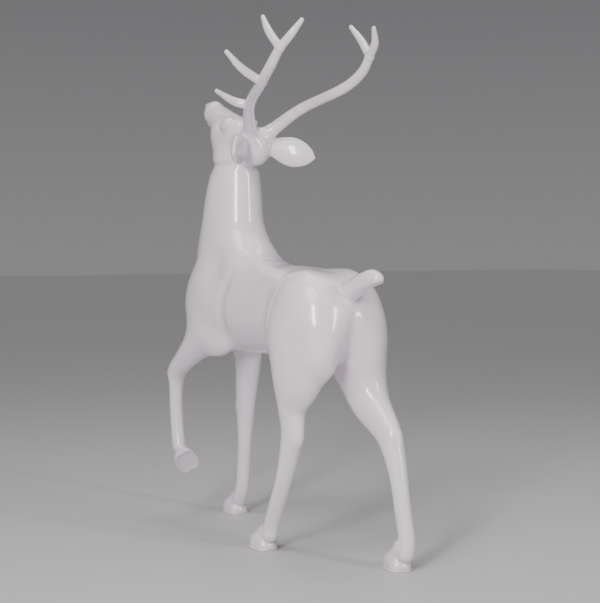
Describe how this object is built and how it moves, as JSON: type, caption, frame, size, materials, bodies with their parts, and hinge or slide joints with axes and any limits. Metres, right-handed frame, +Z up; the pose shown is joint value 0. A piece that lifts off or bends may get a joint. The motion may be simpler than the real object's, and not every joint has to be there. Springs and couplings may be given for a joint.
{
  "type": "display stag",
  "caption": "Life-size glossy white standing stag with head raised, one foreleg lifted, and antlers that pull off for transport.",
  "frame": {"origin": "on the floor, under the middle of the bounding box", "axes": "+Z up, -Y the way the stag faces, +X its left side"},
  "size_m": [0.6134, 1.2718, 1.9007],
  "materials": {
    "body_lacquer": "white gel coat with a high-gloss clear lacquer over glass fibre",
    "antler_lacquer": "white high-gloss lacquer over solid cast resin",
    "hoof_lacquer": "white gloss lacquer over cast resin",
    "sole_pad": "white satin pad, unpolished underneath",
    "bare_steel": "mild steel bar and tube, brushed",
    "zinc_steel": "zinc-plated steel fasteners and inserts",
    "plywood": "birch plywood, unfinished",
    "raw_laminate": "raw glass-fibre laminate, as laid inside the seams"
  },
  "bodies": {
    "stag": {"torso_left_shell": "body_lacquer", "torso_right_shell": "body_lacquer", "neck_left_shell": "body_lacquer", "neck_right_shell": "body_lacquer", "head_left_shell": "body_lacquer", "head_right_shell": "body_lacquer", "leg_front_left_shell": "body_lacquer", "leg_front_right_shell": "body_lacquer", "leg_hind_left_shell": "body_lacquer", "leg_hind_right_shell": "body_lacquer", "hoof_front_left": "hoof_lacquer", "hoof_front_right": "hoof_lacquer", "hoof_hind_left": "hoof_lacquer", "hoof_hind_right": "hoof_lacquer", "sole_front_left": "sole_pad", "sole_front_right": "sole_pad", "sole_hind_left": "sole_pad", "sole_hind_right": "sole_pad", "ear_left": "body_lacquer", "ear_right": "body_lacquer", "tail": "body_lacquer", "ear_pin_left": "bare_steel", "ear_pin_right": "bare_steel", "tail_pin": "bare_steel", "tail_block": "plywood", "shoulder_board": "plywood", "hip_board": "plywood", "neck_flange_lower": "plywood", "neck_flange_upper": "plywood", "head_board": "plywood", "spine_tube": "bare_steel", "neck_clamp": "bare_steel", "neck_tube": "bare_steel", "leg_rod_front_left": "bare_steel", "leg_rod_front_right": "bare_steel", "leg_rod_hind_left": "bare_steel", "leg_rod_hind_right": "bare_steel", "flange_bolt_front": "zinc_steel", "flange_bolt_back": "zinc_steel", "back_seam_band": "raw_laminate", "belly_seam_band": "raw_laminate", "throat_seam_band": "raw_laminate", "nape_seam_band": "raw_laminate", "foot_insert_front_right": "zinc_steel", "foot_insert_hind_left": "zinc_steel", "foot_insert_hind_right": "zinc_steel", "antler_socket_left": "bare_steel", "antler_socket_right": "bare_steel"},
    "antler_left": {"antler_left": "antler_lacquer", "antler_peg_left": "bare_steel"},
    "antler_right": {"antler_right": "antler_lacquer", "antler_peg_right": "bare_steel"}
  },
  "joints": [
    {"name": "antler_left_lift", "type": "slide", "parent": "stag", "child": "antler_left", "axis": [0.4372, 0.7399, 0.5112], "range_m": [0, 0.075]},
    {"name": "antler_right_lift", "type": "slide", "parent": "stag", "child": "antler_right", "axis": [-0.4372, 0.7399, 0.5112], "range_m": [0, 0.075]}
  ]
}
